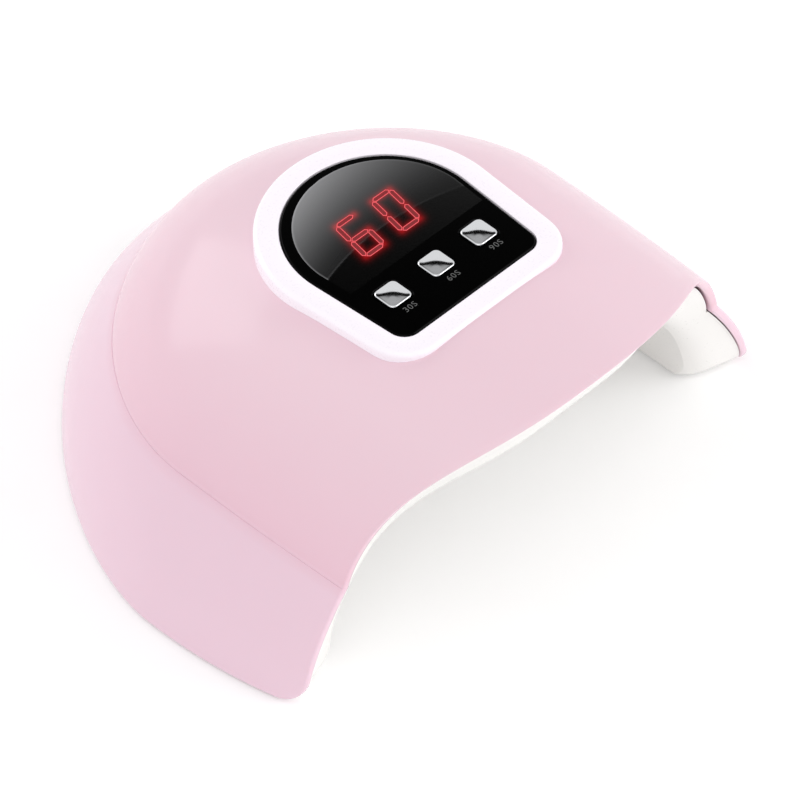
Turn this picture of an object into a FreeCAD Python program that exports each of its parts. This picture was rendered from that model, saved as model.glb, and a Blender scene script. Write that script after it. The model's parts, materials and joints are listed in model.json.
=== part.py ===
"""Desktop UV LED nail lamp: an arched shell with two wings, a white inner liner, a top console and its electronics.

Frame: millimetres, +Z up, origin on the table under the middle of the lamp's box. The hand goes in along +Y, so the
open front faces -Y. Lengths that run back from the front foot line carry the sheet's cell foot_line.
"""

import FreeCAD, Part
import math
import os
import Sketcher
from FreeCAD import Matrix, Placement, Rotation, Vector

doc = FreeCAD.newDocument("nail_lamp")
sheet = doc.addObject("Spreadsheet::Sheet", "Sheet")

# ---------------------------------------------------------------- driving dimensions

DIMENSIONS = {
    # the frame, and what stands on the table
    "foot_line": -61.22,        # Y of the front foot line in the part's frame
    "pad_rise": 1.0,            # foot pads stand this far below the shell
    "shell_height": 72.7,       # top of the hood above the table
    # wings: a skirt that narrows upwards, from the bottom outline to the crease
    "wing_half_width": 90.0,
    "wing_centre": 47.8,        # where the outline is widest, behind the foot line
    "wing_back": 97.0,          # from there to the back
    "wing_front": 121.9,        # half length of the ellipse that the front stretch follows
    "wing_power": 1.65,         # superellipse power of the back stretch
    "wing_bulge": 3.2,          # how far the wings swell outwards half way up
    "crease_height": 33.7,
    "crease_half_width": 69.4,
    "crease_centre": 56.1,
    "crease_back": 68.2,
    "crease_front": 281.5,
    "crease_power": 1.86,
    "crease_ledge": 0.6,        # flat step where the hood stands inside the wings
    # hood: every level is the crease outline drawn in towards the summit
    "summit": 26.2,             # behind the foot line
    "hood_flatness": 3.28,      # high: flat top and steep sides
    "hood_roundness": 0.755,
    "shell_wall": 2.2,
    # open front: the edge is upright at the feet and reaches forward at the crown, like a visor
    "edge_lead": 0.9,           # the upright stretch stands this far before the foot line
    "visor_reach": 25.1,
    "visor_scale": 74.9,        # height at which the reach is full
    "visor_power": 5.0,
    "foot_radius": 7.0,         # rounding of each foot's front lower corner
    # hand cavity: an elliptical tunnel closed by half an ellipsoid
    "cavity_half_width": 66.0,
    "cavity_height": 55.0,
    "cavity_straight": 60.0,    # where the tunnel ends, behind the foot line
    "cavity_back": 58.0,        # from there to the back of the cavity
    "liner_wall": 1.8,
    "liner_gap": 0.25,          # play between liner and shell
    "front_recess": 0.8,        # the liner's front stands this far behind the shell's edge
    "flare_depth": 4.6,         # the front face leans back towards the cavity by this much
    "flare_round": 4.5,         # and rounds into it over this depth
    "round_share": 0.4,         # share of the face's width that is rounded
    # console: lens, bezel and keys share one D outline
    "console_top": 73.6,
    "lens_radius": 26.5,        # back of the D
    "lens_centre": 51.5,        # centre of that arc, behind the foot line
    "lens_front": 20.0,         # straight front edge, behind the foot line
    "lens_corner": 4.6,
    "lens_taper": 4.0,          # degrees by which the straight sides close towards the front
    "lens_thick": 2.0,
    "lens_drop": 0.2,           # lens below the bezel's rim
    "lens_bevel": 0.5,
    "tape_thick": 0.15,
    "bezel_rim": 6.6,           # visible width of the bezel
    "bezel_foot": 61.0,         # below the hood everywhere under the rim
    "bezel_round": 1.3,
    "neck_rim": 3.6,            # the part of the bezel that passes through the hood
    "neck_foot": 65.0,
    "neck_play": 0.15,
    "seat_width": 1.5,          # ledge under the lens
    # keys
    "key_pitch": 15.2,
    "key_line": 33.5,           # behind the foot line
    "key_side": 7.4,
    "key_corner": 1.5,
    "key_play": 0.15,
    "key_rise": 0.9,            # above the lens
    "key_flange": 9.0,
    "key_flange_thick": 1.0,
    "key_travel": 0.5,
    "key_top_round": 0.6,
    "flange_gap": 0.2,          # between a resting key's flange and the lens
    "stem_radius": 1.5,
    "stem_sink": 0.5,           # how far the stem and the cap run into the flange
    "plunger_radius": 1.7,
    "plunger_height": 1.4,
    "plunger_rise": 0.9,        # out of the switch at rest
    "plunger_play": 0.1,
    "plunger_reserve": 0.2,     # free depth left under a pressed plunger
    "switch_side": 6.0,
    "switch_height": 3.5,
    # control board
    "board_top": 63.0,
    "board_thick": 1.6,
    "digit_module_width": 25.0,
    "digit_module_depth": 19.0,
    "digit_module_height": 8.0,
    "digit_line": 54.0,         # centre of the digits, behind the foot line
    "digit_shift": 1.0,         # and to the right of the middle
    "board_play": 0.2,          # the board's edge stands this far outside the bezel's neck
    "chip_length": 10.0,
    "chip_width": 4.0,
    "chip_height": 1.75,
    "chip_line": 24.5,          # behind the foot line
    "capacitor_radius": 3.15,
    "capacitor_height": 7.0,
    "capacitor_shift": -17.0,
    "capacitor_line": 62.0,
    "inductor_side": 7.0,
    "inductor_height": 4.0,
    "inductor_line": 70.2,
    "post_radius": 2.4,         # posts under the bezel's neck that take the board's screws
    "post_bore": 1.05,
    "post_bore_depth": 6.1,
    "board_bore": 1.15,
    "board_screw_radius": 1.0,
    "board_screw_length": 7.4,
    "board_screw_head": 1.9,
    "board_screw_head_thick": 1.3,
    "board_screw_cross": 3.0,
    "board_screw_cross_width": 0.5,
    "board_screw_cross_depth": 0.6,
    # curing lights
    "strip_length": 50.0,
    "strip_width": 9.0,
    "strip_thick": 1.0,
    "strip_stand": 2.2,         # strip's inner face outside the cavity's surface
    "strip_middle": 38.0,       # behind the foot line
    "light_pitch": 16.0,
    "light_side": 4.0,
    "light_thick": 0.9,
    "light_dome": 1.7,
    "light_sink": 0.5,          # centre of the lens ball, inside the package
    "light_hole": 3.6,
    "light_hole_depth": 3.4,
    "light_flare": 1.0,
    "stake_radius": 0.9,
    "stake_play": 0.05,
    "stake_length": 2.0,
    "stake_head": 1.6,
    "stake_head_thick": 0.6,
    "stake_shoulder": 2.0,
    "stake_shoulder_height": 1.2,
    "stake_spacing": 44.0,
    # fasteners, feet and power inlet
    "screw_radius": 1.3,
    "screw_head": 2.8,
    "screw_head_thick": 1.8,
    "screw_head_play": 0.6,
    "screw_play": 0.2,
    "screw_length": 10.0,
    "screw_cross": 4.0,
    "screw_cross_width": 0.7,
    "screw_cross_depth": 0.8,
    "screw_sink": 0.5,          # how far a screw's shank runs into its head
    "boss_radius": 3.5,
    "cup_radius": 5.0,
    "cup_height": 4.5,
    "cup_ceiling": 1.6,
    "pad_radius": 4.5,
    "pad_recess": 0.8,
    "pad_play": 0.1,
    "jack_width": 9.0,
    "jack_length": 13.0,
    "jack_height": 11.0,
    "jack_axis": 9.5,           # height of the inlet's axis
    "jack_face": 139.0,         # mouth of the inlet, behind the foot line
    "jack_nose": 4.0,
    "jack_bore": 3.1,
    "jack_bore_depth": 12.0,
    "jack_pin": 1.0,
    "jack_pin_length": 10.5,
    "jack_cheek": 1.6,          # liner's wall beside the inlet
}

for row, (alias, value) in enumerate(DIMENSIONS.items(), start=1):
    sheet.set(f"A{row}", alias)
    sheet.set(f"B{row}", str(value))
    sheet.setAlias(f"B{row}", alias)
doc.recompute()


def cell(alias):
    """The value of a sheet cell."""
    return float(sheet.get(alias))


PARTS = []
FOOT = cell("foot_line")
FLOOR = cell("pad_rise")
HALF_TURN = 180.0
FAR = 200.0                     # beyond every face of the lamp


def keep(obj, label):
    """Marks an object as a sub-part under the name that its file takes."""
    obj.Label = label
    PARTS.append(obj)
    return obj


def feature(label, shape):
    """A sub-part whose shape comes from Part's own functions."""
    obj = doc.addObject("Part::Feature", label)
    obj.Shape = shape
    return keep(obj, label)


def bind(obj, **cells):
    """Binds properties to expressions, with __ for the dots in a property's path."""
    for name, expression in cells.items():
        obj.setExpression(name.replace("__", "."), str(expression))
    return obj


def box(name, length, width, height, x, y, z):
    """A box centred on x and y with its base at z, every size an expression."""
    obj = doc.addObject("Part::Box", name)
    return bind(obj, Length=length, Width=width, Height=height, Placement__Base__x=f"{x} - ({length}) / 2",
                Placement__Base__y=f"{y} - ({width}) / 2", Placement__Base__z=z)


def cylinder(name, radius, height, x, y, z):
    """An upright cylinder with its base at z, every size an expression."""
    obj = doc.addObject("Part::Cylinder", name)
    return bind(obj, Radius=radius, Height=height, Placement__Base__x=x, Placement__Base__y=y, Placement__Base__z=z)


def along_y(name, radius, length, y):
    """A cylinder on the power inlet's axis, running back from y; every size is an expression."""
    obj = doc.addObject("Part::Cylinder", name)
    obj.Placement.Rotation = Rotation(Vector(1, 0, 0), -90)
    return bind(obj, Radius=radius, Height=length, Placement__Base__y=y, Placement__Base__z="Sheet.jack_axis")


def cut(name, base, tool, refine=True):
    """The base without the tool. Refining joins faces that carry on into each other."""
    obj = doc.addObject("Part::Cut", name)
    obj.Base, obj.Tool, obj.Refine = base, tool, refine
    return obj


def fuse(name, members):
    """One solid made of several."""
    obj = doc.addObject("Part::MultiFuse", name)
    obj.Shapes = members
    return obj


def group(name, members):
    """Several solids kept as one sub-part."""
    obj = doc.addObject("Part::Compound", name)
    obj.Links = members
    return obj


def screw(name, kind, x, y, seat):
    """A cross-recess screw standing up from its seat; kind is what the names of its cells start with."""
    size = f"Sheet.{kind}"
    head = cylinder(f"{name}_head", f"{size}_head", f"{size}_head_thick", x, y, f"{seat} - {size}_head_thick")
    shank = cylinder(f"{name}_shank", f"{size}_radius", f"{size}_length", x, y, f"{seat} - Sheet.screw_sink")
    foot = f"{seat} - {size}_head_thick"
    bars = [box(f"{name}_bar_{turn}", length, width, f"{size}_cross_depth", x, y, foot)
            for turn, (length, width) in enumerate(((f"{size}_cross", f"{size}_cross_width"),
                                                    (f"{size}_cross_width", f"{size}_cross")))]
    return cut(name, fuse(f"{name}_blank", [head, shank]), fuse(f"{name}_recess", bars))


# ---------------------------------------------------------------- outlines and profiles


def back(y):
    """Frame Y of a place that far behind the foot line."""
    return FOOT + y


def wing_outline(inset):
    """Bottom outline of the wings, drawn in by inset."""
    return (cell("wing_half_width") - inset, cell("wing_centre"), cell("wing_back") - inset,
            cell("wing_front"), cell("wing_power"))


def crease_outline(inset):
    return (cell("crease_half_width") - inset, cell("crease_centre"), cell("crease_back") - inset,
            cell("crease_front"), cell("crease_power"))


BLUNTNESS = 0.25                # share of the half width over which the outline's rear tip is rounded


def rear_reach(u, power):
    """How far back a superellipse reaches at a share u of its half width, with its tip rounded."""
    low, high = BLUNTNESS ** power, (1 + BLUNTNESS ** 2) ** (power / 2)
    rise = ((u ** 2 + BLUNTNESS ** 2) ** (power / 2) - low) / (high - low)
    return max(1 - rise, 0) ** (1 / power)


NEAR_STEPS = 8                  # stations beside the hand cavity, evenly spaced along Y
NEAR_LENGTH = 60.0
FAR_STEPS = 6                   # from there to the outline's front tip, which the open front cuts off
REAR_STEPS = 28


def right_side(outline):
    """Plan points down an outline's right side, from the rear tip to the front tip."""
    half_width, centre, rear, front, power = outline
    points = []
    for i in range(REAR_STEPS // 2):
        u = math.sin(math.pi * i / REAR_STEPS) ** (2 / power)
        points.append((half_width * u, centre + rear * rear_reach(u, power)))
    for i in range(NEAR_STEPS):
        depth = NEAR_LENGTH * i / NEAR_STEPS
        points.append((half_width * math.sqrt(1 - (depth / front) ** 2), centre - depth))
    bend = math.asin(NEAR_LENGTH / front)
    for i in range(FAR_STEPS + 1):
        angle = bend + (math.pi / 2 - bend) * i / FAR_STEPS
        points.append((half_width * math.cos(angle), centre - front * math.sin(angle)))
    return points


def outline_points(outline):
    """Plan points all round an outline, from its rear tip clockwise as seen from above."""
    right = right_side(outline)
    return right + [(-x, y) for x, y in reversed(right[1:-1])]


def ring_parameters():
    """Spline parameters shared by every level: distances round the mean of the bottom and crease outlines."""
    pairs = zip(outline_points(wing_outline(0)), outline_points(crease_outline(0)))
    points = [Vector((x + u) / 2, (y + v) / 2, 0) for (x, y), (u, v) in pairs]
    parameters = [0.0]
    for a, b in zip(points, points[1:] + points[:1]):
        parameters.append(parameters[-1] + a.distanceToPoint(b))
    return parameters


RING_PARAMETERS = ring_parameters()


def ring(points, z):
    """Closed spline at height z through plan points, with the parameters that every level shares."""
    curve = Part.BSplineCurve()
    curve.interpolate(Points=[Vector(x, back(y), z) for x, y in points], PeriodicFlag=True,
                      Parameters=RING_PARAMETERS)
    return Part.Wire([curve.toShape()])


def wing_swell(rise):
    """How much wider than straight the wings stand at a share of the way from the bottom to the crease."""
    return 1 + 4 * rise * (1 - rise) * cell("wing_bulge") / cell("wing_half_width")


def wing_ring(inset, crease, rise):
    """The wings' ring at a share of the way from the bottom to the crease, which lies at height crease."""
    swell, middle = wing_swell(rise), cell("wing_centre")
    points = []
    for (x, y), (u, v) in zip(outline_points(wing_outline(inset)), outline_points(crease_outline(inset))):
        straight = y + (v - y) * rise
        points.append(((x + (u - x) * rise) * swell, middle + (straight - middle) * swell))
    return ring(points, FLOOR + (crease - FLOOR) * rise)


def hood_ring(outline, z, share):
    """The hood's ring at height z: the outline, drawn in towards the summit to the share given."""
    summit = cell("summit")
    return ring([(share * x, summit + share * (y - summit)) for x, y in outline_points(outline)], z)


def hood_share(rise):
    """How far out the hood reaches at a rise from 0 at the crease to 1 at the summit."""
    return (1 - rise ** (1 / cell("hood_roundness"))) ** (1 / cell("hood_flatness"))


WING_RISES = (0.0, 0.25, 0.5, 0.75, 1.0)
HOOD_RISES = (0.0, 0.16, 0.34, 0.52, 0.69, 0.83, 0.93, 0.985)


def dome(inset, step=0.0):
    """The solid inside one skin of the shell, drawn in by inset. Its crease lies step lower."""
    crease = cell("crease_height") - step
    height = cell("shell_height") - inset
    skirt = Part.makeLoft([wing_ring(inset, crease, rise) for rise in WING_RISES], True, False)
    hood_edge = crease_outline(inset + cell("crease_ledge"))
    rings = [hood_ring(hood_edge, crease + (height - crease) * rise, hood_share(rise)) for rise in HOOD_RISES]
    hood = Part.makeLoft(rings + [Part.Vertex(0, back(cell("summit")), height)], True, False)
    return skirt.fuse(hood)


def visor(z):
    """How far behind the foot line the shell's front edge lies at height z."""
    lean = -cell("edge_lead") - cell("visor_reach") * (max(z, 0) / cell("visor_scale")) ** cell("visor_power")
    radius = cell("foot_radius")
    below = FLOOR + radius - z
    if below <= 0:
        return lean
    return lean + radius - math.sqrt(max(radius ** 2 - min(below, radius) ** 2, 0))


def front_cutter():
    """Everything before the shell's front edge: the edge's side view, swept across the lamp."""
    radius = cell("foot_radius")
    low, high = FLOOR + radius, cell("shell_height") + 8
    steps = 12
    heights = [low + (high - low) * i / steps for i in range(steps + 1)]
    spline = Part.BSplineCurve()
    spline.interpolate([Vector(-FAR, back(visor(z)), z) for z in heights])
    toe = Vector(-FAR, back(visor(low)), low)
    foot = toe + Vector(0, radius, -radius)
    middle = toe + Vector(0, radius * (1 - math.sqrt(0.5)), -radius * math.sqrt(0.5))
    corner = Part.Arc(foot, middle, toe).toShape()
    top = Vector(-FAR, back(visor(high)), high)
    corners = [top, Vector(-FAR, -2 * FAR, high), Vector(-FAR, -2 * FAR, -FAR), Vector(-FAR, foot.y, -FAR), foot]
    sides = [Part.makeLine(a, b) for a, b in zip(corners, corners[1:])]
    face = Part.Face(Part.Wire(Part.__sortEdges__([corner, spline.toShape()] + sides)))
    return face.extrude(Vector(2 * FAR, 0, 0))


def half_width_at(outline, y):
    """Half width of an outline's front stretch at a place y behind the foot line."""
    half_width, centre, _, front, _ = outline
    return half_width * math.sqrt(max(1 - ((centre - y) / front) ** 2, 0))


def front_half_width(z):
    """Half width of the liner's front at height z, measured at the shell's front edge."""
    inset = cell("shell_wall") + cell("liner_gap")
    crease, height = cell("crease_height"), cell("shell_height") - inset
    y = visor(z)
    if z <= crease:
        rise = max(z - FLOOR, 0) / (crease - FLOOR)
        swell, centre = wing_swell(rise), cell("wing_centre")
        straight = centre + (y - centre) / swell
        low, high = half_width_at(wing_outline(inset), straight), half_width_at(crease_outline(inset), straight)
        return (low + (high - low) * rise) * swell
    share = hood_share(min((z - crease) / (height - crease), 0.9999))
    summit = cell("summit")
    return share * half_width_at(crease_outline(inset + cell("crease_ledge")), summit + (y - summit) / share)


def front_radius(angle):
    """Distance from the foot of the middle line to the liner's front edge, in the direction of angle."""
    near, far = 30.0, 120.0
    for _ in range(40):
        middle = (near + far) / 2
        inside = middle * math.cos(angle) < front_half_width(middle * math.sin(angle))
        near, far = (middle, far) if inside else (near, middle)
    return near


FACE_STEPS = 32                 # round the arch of the liner's front face
FACE_DIP = math.radians(7)      # how far the face's surface carries on below the floor
FACE_SHARES = (-0.07, 0.0, 0.2, 0.4, 0.6, 0.72, 0.82, 0.9, 0.96, 1.0, 1.03)


def face_depth(share):
    """How far the liner's front lies behind its outer edge, at a share of the way in to the cavity."""
    start = 1 - cell("round_share")
    turn = 0.93 * max(share - start, 0) / cell("round_share")
    return cell("flare_depth") * share + cell("flare_round") * (1 - math.sqrt(1 - min(turn, 1) ** 2))


def front_face_cutter(shift):
    """Everything before the liner's front face, which lies shift behind its own place."""
    grid = []
    for i in range(FACE_STEPS + 1):
        angle = -FACE_DIP + (math.pi + 2 * FACE_DIP) * i / FACE_STEPS
        level = min(max(min(angle, math.pi - angle), 0), math.pi / 2)
        outer = front_radius(level)
        c, s = math.cos(angle), math.sin(angle)
        inner = 1 / math.hypot(c / cell("cavity_half_width"), s / cell("cavity_height"))
        edge = visor(outer * math.sin(level)) + cell("front_recess") + shift
        row = []
        for share in FACE_SHARES:
            radius = outer + (inner - outer) * share
            row.append(Vector(radius * c, back(edge + face_depth(share)), radius * s))
        grid.append(row)
    surface = Part.BSplineSurface()
    surface.interpolate(grid)
    return surface.toShape().extrude(Vector(0, -FAR, 0))


def cavity(grow):
    """The hand cavity as a solid: a tunnel from before the lamp, closed by half an ellipsoid."""
    half_width, height = cell("cavity_half_width") + grow, cell("cavity_height") + grow
    rear, end = cell("cavity_back") + grow, back(cell("cavity_straight"))
    stretch = rear / height
    mouth = -FAR / stretch
    axis_start, axis_end = Vector(0, mouth, 0), Vector(0, height, 0)
    rim, shoulder = Vector(0, mouth, height), Vector(0, 0, height)
    middle = Vector(0, height * math.sqrt(0.5), height * math.sqrt(0.5))
    profile = Part.Wire([Part.makeLine(axis_end, axis_start), Part.makeLine(axis_start, rim),
                         Part.makeLine(rim, shoulder), Part.Arc(shoulder, middle, axis_end).toShape()])
    solid = Part.Face(profile).revolve(Vector(0, 0, 0), Vector(0, 1, 0), 2 * HALF_TURN)
    scale = Matrix()
    scale.scale(half_width / height, stretch, 1)
    solid = solid.transformGeometry(scale)
    solid.translate(Vector(0, end, 0))
    return solid


# ---------------------------------------------------------------- the D outline of the console


def d_geometry(grow):
    """The D outline's lines and arcs, grown outwards, in a sketch whose origin is on the foot line."""
    tilt = math.radians(cell("lens_taper"))
    radius, corner = cell("lens_radius") + grow, cell("lens_corner") + grow
    centre, front = cell("lens_centre"), cell("lens_front") - grow
    corner_y = front + corner
    corner_x = (radius - corner + (corner_y - centre) * math.sin(tilt)) / math.cos(tilt)
    side = Vector(corner_x + corner * math.cos(tilt), corner_y - corner * math.sin(tilt), 0)
    tangent = Vector(radius * math.cos(tilt), centre - radius * math.sin(tilt), 0)
    up = Vector(0, 0, 1)

    def left(p):
        return Vector(-p.x, p.y, 0)

    return [
        Part.ArcOfCircle(Part.Circle(Vector(0, centre, 0), up, radius), -tilt, math.pi + tilt),
        Part.LineSegment(side, tangent),
        Part.ArcOfCircle(Part.Circle(Vector(corner_x, corner_y, 0), up, corner), -math.pi / 2, -tilt),
        Part.LineSegment(Vector(-corner_x, front, 0), Vector(corner_x, front, 0)),
        Part.ArcOfCircle(Part.Circle(Vector(-corner_x, corner_y, 0), up, corner), math.pi + tilt, 1.5 * math.pi),
        Part.LineSegment(left(side), left(tangent)),
    ]


def flat_sketch(body, name, height):
    """A sketch on the body's XY plane, raised to height, with its origin on the foot line."""
    plane = next(f for f in body.Origin.OriginFeatures if f.Role == "XY_Plane")
    sketch = body.newObject("Sketcher::SketchObject", name)
    sketch.AttachmentSupport = [(plane, "")]
    sketch.MapMode = "FlatFace"
    return bind(sketch, AttachmentOffset__Base__y="Sheet.foot_line", AttachmentOffset__Base__z=height)


def d_sketch(body, name, grow, height):
    """A constrained D outline, bound to the sheet; grow is an expression."""
    sketch = flat_sketch(body, name, height)
    value = float(sheet.evalExpression(grow))
    sketch.addGeometry(d_geometry(value), False)
    rule = Sketcher.Constraint
    for first, end, second, start in ((0, 1, 1, 2), (1, 1, 2, 2), (2, 1, 3, 2), (3, 1, 4, 2), (4, 1, 5, 1), (5, 2, 0, 2)):
        sketch.addConstraint(rule("Tangent", first, end, second, start))
    sketch.addConstraint(rule("Horizontal", 3))
    sketch.addConstraint(rule("PointOnObject", 0, 3, -2))
    sketch.addConstraint(rule("Equal", 2, 4))
    taper = math.radians(cell("lens_taper"))
    sized = [
        ("centre", rule("DistanceY", -1, 1, 0, 3, cell("lens_centre")), "Sheet.lens_centre"),
        ("back_radius", rule("Radius", 0, cell("lens_radius") + value), f"Sheet.lens_radius + {grow}"),
        ("corner", rule("Radius", 2, cell("lens_corner") + value), f"Sheet.lens_corner + {grow}"),
        ("front", rule("DistanceY", -1, 1, 3, 1, cell("lens_front") - value), f"Sheet.lens_front - ({grow})"),
        ("right_side", rule("Angle", 1, math.pi / 2 - taper), "(90 - Sheet.lens_taper) * 1 deg"),
        ("left_side", rule("Angle", 5, math.pi / 2 + taper), "(90 + Sheet.lens_taper) * 1 deg"),
    ]
    for title, constraint, expression in sized:
        index = sketch.addConstraint(constraint)
        sketch.renameConstraint(index, title)
        sketch.setExpression(f"Constraints.{title}", expression)
    return sketch


def pad(body, sketch, height):
    """Raises a sketch by height, an expression."""
    solid = body.newObject("PartDesign::Pad", f"{sketch.Name}_pad")
    solid.Profile = sketch
    sketch.Visibility = False
    bind(solid, Length=height)
    doc.recompute()
    return solid


def pocket(body, sketch, depth):
    """Sinks a sketch by depth, an expression."""
    hollow = body.newObject("PartDesign::Pocket", f"{sketch.Name}_pocket")
    hollow.Profile = sketch
    sketch.Visibility = False
    bind(hollow, Length=depth)
    doc.recompute()
    return hollow


def rounded_square(body, name, side, corner, x, y, height):
    """A constrained square with round corners, centred on x and y; every size is an expression."""
    sketch = flat_sketch(body, name, height)
    half = float(sheet.evalExpression(side)) / 2
    radius = float(sheet.evalExpression(corner))
    cx, cy = float(sheet.evalExpression(x)), float(sheet.evalExpression(y))
    inner, up = half - radius, Vector(0, 0, 1)
    pieces = []
    for turn in range(4):
        angle = turn * math.pi / 2
        spin = Rotation(up, math.degrees(angle))
        middle = Vector(cx, cy, 0)
        start = middle + spin.multVec(Vector(half, -inner, 0))
        end = middle + spin.multVec(Vector(half, inner, 0))
        round_centre = middle + spin.multVec(Vector(inner, inner, 0))
        pieces.append(Part.LineSegment(start, end))
        pieces.append(Part.ArcOfCircle(Part.Circle(round_centre, up, radius), angle, angle + math.pi / 2))
    sketch.addGeometry(pieces, False)
    rule = Sketcher.Constraint
    for i in range(4):
        line, arc, following = 2 * i, 2 * i + 1, (2 * i + 2) % 8
        sketch.addConstraint(rule("Tangent", line, 2, arc, 1))
        sketch.addConstraint(rule("Tangent", arc, 2, following, 1))
        sketch.addConstraint(rule("Vertical" if i % 2 == 0 else "Horizontal", line))
    for arc in (3, 5, 7):
        sketch.addConstraint(rule("Equal", 1, arc))
    sized = [
        ("corner", rule("Radius", 1, radius), corner),
        ("width", rule("DistanceX", 4, 1, 0, 1, 2 * half), side),
        ("depth", rule("DistanceY", 6, 1, 2, 1, 2 * half), side),
        ("right", rule("DistanceX", -1, 1, 0, 1, cx + half), f"{x} + ({side}) / 2"),
        ("rear", rule("DistanceY", -1, 1, 2, 1, cy + half), f"{y} + ({side}) / 2"),
    ]
    for title, constraint, expression in sized:
        index = sketch.addConstraint(constraint)
        sketch.renameConstraint(index, title)
        sketch.setExpression(f"Constraints.{title}", expression)
    return sketch


def edges_at(shape, height, wanted):
    """Names of the edges that lie flat at a height and whose middle point is wanted."""
    names = []
    for number, edge in enumerate(shape.Edges, start=1):
        limits = edge.BoundBox
        flat = limits.ZLength < 1e-3 and abs(limits.ZMax - height) < 1e-3
        middle = edge.valueAt((edge.FirstParameter + edge.LastParameter) / 2)
        if flat and wanted(middle):
            names.append(f"Edge{number}")
    return names


def everywhere(point):
    """Wants every edge."""
    return True


def soften(body, kind, size, height, wanted=everywhere):
    """Rounds or bevels the body's edges at a height; size is an expression."""
    doc.recompute()
    tip = body.Tip
    work = body.newObject(f"PartDesign::{kind}", f"{body.Name}_{kind.lower()}")
    work.Base = (tip, edges_at(tip.Shape, height, wanted))
    bind(work, **{"Radius" if kind == "Fillet" else "Size": size})
    doc.recompute()
    return work


def d_body(name, grow, bottom, height):
    """A body holding the D outline as one upright block."""
    body = doc.addObject("PartDesign::Body", name)
    pad(body, d_sketch(body, f"{name}_outline", grow, bottom), height)
    return body


# ---------------------------------------------------------------- shell

WALL = cell("shell_wall")
INNER_STEP = 1.0                # the crease lies this much lower on the inner skin
SKIN_OUT = dome(0)

SCREW_PLACES = ((-76.5, 60.0), (76.5, 60.0), (-35.0, 120.0), (35.0, 120.0))     # behind the foot line
PAD_PLACES = ((-76.5, 22.0), (76.5, 22.0), (-57.0, 100.0), (57.0, 100.0))
PILOT_PLAY = 0.05


def boss(x, y):
    """Screw boss hanging from the shell down to the liner's cup."""
    foot = FLOOR + cell("cup_height")
    post = Part.makeCylinder(cell("boss_radius"), cell("crease_height") - foot, Vector(x, back(y), foot))
    bore = Part.makeCylinder(cell("screw_radius") + PILOT_PLAY, cell("screw_length"), Vector(x, back(y), foot))
    return post.common(SKIN_OUT), bore


aperture = d_body("aperture", "Sheet.neck_rim + Sheet.neck_play", "Sheet.bezel_foot", "20")
FRONT = front_cutter()
shell_blank = SKIN_OUT.cut(FRONT).cut(dome(WALL, INNER_STEP).cut(FRONT))
for place in SCREW_PLACES:
    post, bore = boss(*place)
    shell_blank = shell_blank.fuse(post).cut(bore)
blank = doc.addObject("Part::Feature", "shell_blank")
blank.Shape = shell_blank

inlet_hole = along_y("inlet_hole", "Sheet.jack_nose + Sheet.neck_play", "Sheet.jack_length * 2",
                     "Sheet.foot_line + Sheet.jack_face - Sheet.jack_length / 2")
shell_open = cut("shell_open", blank, aperture, refine=False)
keep(cut("top_shell_cut", shell_open, inlet_hole, refine=False), "top_shell")

# ---------------------------------------------------------------- console

hood_tool = doc.addObject("Part::Feature", "hood_tool")
HOOD_GAP = 0.05
hood_tool.Shape = dome(-HOOD_GAP)

rim = d_body("rim", "Sheet.bezel_rim", "Sheet.bezel_foot", "Sheet.console_top - Sheet.bezel_foot")
soften(rim, "Fillet", "Sheet.bezel_round", cell("console_top"))
neck = d_body("neck", "Sheet.neck_rim", "Sheet.neck_foot", "Sheet.console_top - Sheet.neck_foot - 1")
LENS_FOOT = "Sheet.console_top - Sheet.lens_drop - Sheet.lens_thick"
window = d_body("window", "-Sheet.seat_width", "Sheet.bezel_foot - 1", "20")
lens_seat = d_body("lens_seat", "Sheet.neck_play", f"{LENS_FOOT} - Sheet.tape_thick", "10")

# Screw places round the bezel's neck, which carries the control board below it.
RING_RADIUS = cell("lens_radius") + (cell("neck_rim") - cell("seat_width")) / 2
BOARD_SCREW_PLACES = []
for turn in (40, 140):
    angle = math.radians(turn)
    BOARD_SCREW_PLACES.append((RING_RADIUS * math.cos(angle), cell("lens_centre") + RING_RADIUS * math.sin(angle)))
for side in (-1, 1):
    BOARD_SCREW_PLACES.append((side * 25.2, 27.0))

ring_posts, ring_bores, board_screws, board_bores = [], [], [], []
for n, (x, y) in enumerate(BOARD_SCREW_PLACES, start=1):
    at = (f"{x:.3f}", f"Sheet.foot_line + {y:.3f}")
    ring_posts.append(cylinder(f"ring_post_{n}", "Sheet.post_radius", "Sheet.neck_foot - Sheet.board_top + 1", *at,
                               "Sheet.board_top"))
    ring_bores.append(cylinder(f"ring_bore_{n}", "Sheet.post_bore", "Sheet.post_bore_depth", *at, "Sheet.board_top"))
    board_bores.append(cylinder(f"board_bore_{n}", "Sheet.board_bore", "2 * Sheet.board_thick", *at,
                                "Sheet.board_top - 1.5 * Sheet.board_thick"))
    board_screws.append(screw(f"board_screw_{n}", "board_screw", *at, "Sheet.board_top - Sheet.board_thick"))

bezel_blank = fuse("bezel_blank", [cut("rim_over_hood", rim, hood_tool), neck] + ring_posts)
bezel_holes = fuse("bezel_holes", [window, lens_seat] + ring_bores)
keep(cut("bezel_cut", bezel_blank, bezel_holes), "display_bezel")

lens = d_body("lens", "0", LENS_FOOT, "Sheet.lens_thick")
KEY_NAMES = ("30s", "60s", "90s")
for index, name in enumerate(KEY_NAMES):
    hole = rounded_square(lens, f"hole_{name}", "Sheet.key_side + 2 * Sheet.key_play",
                          "Sheet.key_corner + Sheet.key_play", f"{index - 1} * Sheet.key_pitch", "Sheet.key_line",
                          "Sheet.console_top - Sheet.lens_drop")
    pocket(lens, hole, "Sheet.lens_thick")


def on_rim(p):
    """Whether a point is nearer the console's edge than its keys."""
    return math.hypot(p.x, p.y - back(cell("lens_centre"))) > cell("lens_radius") - 1 or p.y < back(21)


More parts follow.
